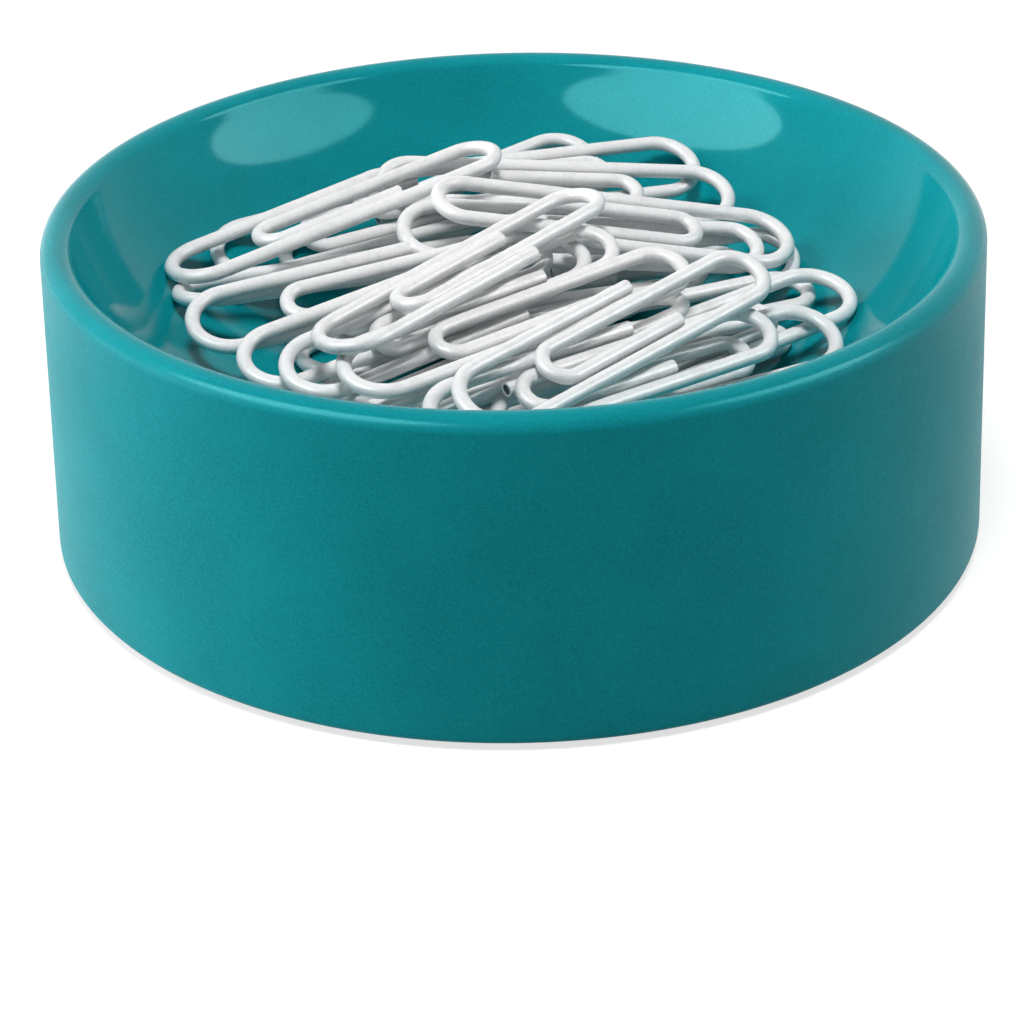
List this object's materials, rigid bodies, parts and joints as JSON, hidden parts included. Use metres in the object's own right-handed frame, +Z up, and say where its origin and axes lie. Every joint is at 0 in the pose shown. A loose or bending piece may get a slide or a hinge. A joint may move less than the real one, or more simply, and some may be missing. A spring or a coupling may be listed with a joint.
{
  "type": "magnetic paper clip holder",
  "caption": "Round desk dish with a concave bowl and a rolled rim. A magnet under the bowl's floor holds a heap of coated wire paper clips, which lift out.",
  "frame": {"origin": "middle of the bottom face of the rubber foot, on the table", "axes": "+Z up along the axis of the round dish, -Y towards the front of the picture, +X to its right"},
  "size_m": [0.0812, 0.0812, 0.0285],
  "materials": {
    "dish": "glossy bowl and rim, satin speckled wall",
    "plate": "moulded, matte",
    "magnet": "sintered ferrite",
    "rubber": "matte",
    "screws": "zinc plated",
    "clips": "satin white vinyl coat on steel wire"
  },
  "bodies": {
    "holder": {"dish_shell": "dish", "base_plate": "plate", "magnet": "magnet", "rubber_washer": "rubber", "base_screws": "screws", "rubber_foot": "rubber"},
    "clip_pile": {"clip_01": "clips", "clip_02": "clips", "clip_03": "clips", "clip_04": "clips", "clip_05": "clips", "clip_06": "clips", "clip_07": "clips", "clip_08": "clips", "clip_09": "clips", "clip_10": "clips", "clip_11": "clips", "clip_12": "clips", "clip_13": "clips", "clip_15": "clips", "clip_16": "clips", "clip_17": "clips", "clip_18": "clips", "clip_19": "clips", "clip_20": "clips", "clip_21": "clips", "clip_22": "clips", "clip_23": "clips"},
    "left_clip": {"clip_14": "clips"},
    "front_clip": {"clip_24": "clips"},
    "top_clip": {"clip_25": "clips"}
  },
  "joints": [
    {"name": "pile_lift", "type": "slide", "parent": "holder", "child": "clip_pile", "axis": [0, 0, 1], "range_m": [0, 0.04]},
    {"name": "left_clip_lift", "type": "slide", "parent": "clip_pile", "child": "left_clip", "axis": [0, 0, 1], "range_m": [0, 0.03]},
    {"name": "front_clip_lift", "type": "slide", "parent": "clip_pile", "child": "front_clip", "axis": [0, 0, 1], "range_m": [0, 0.03]},
    {"name": "top_clip_lift", "type": "slide", "parent": "clip_pile", "child": "top_clip", "axis": [0, 0, 1], "range_m": [0, 0.03]}
  ]
}
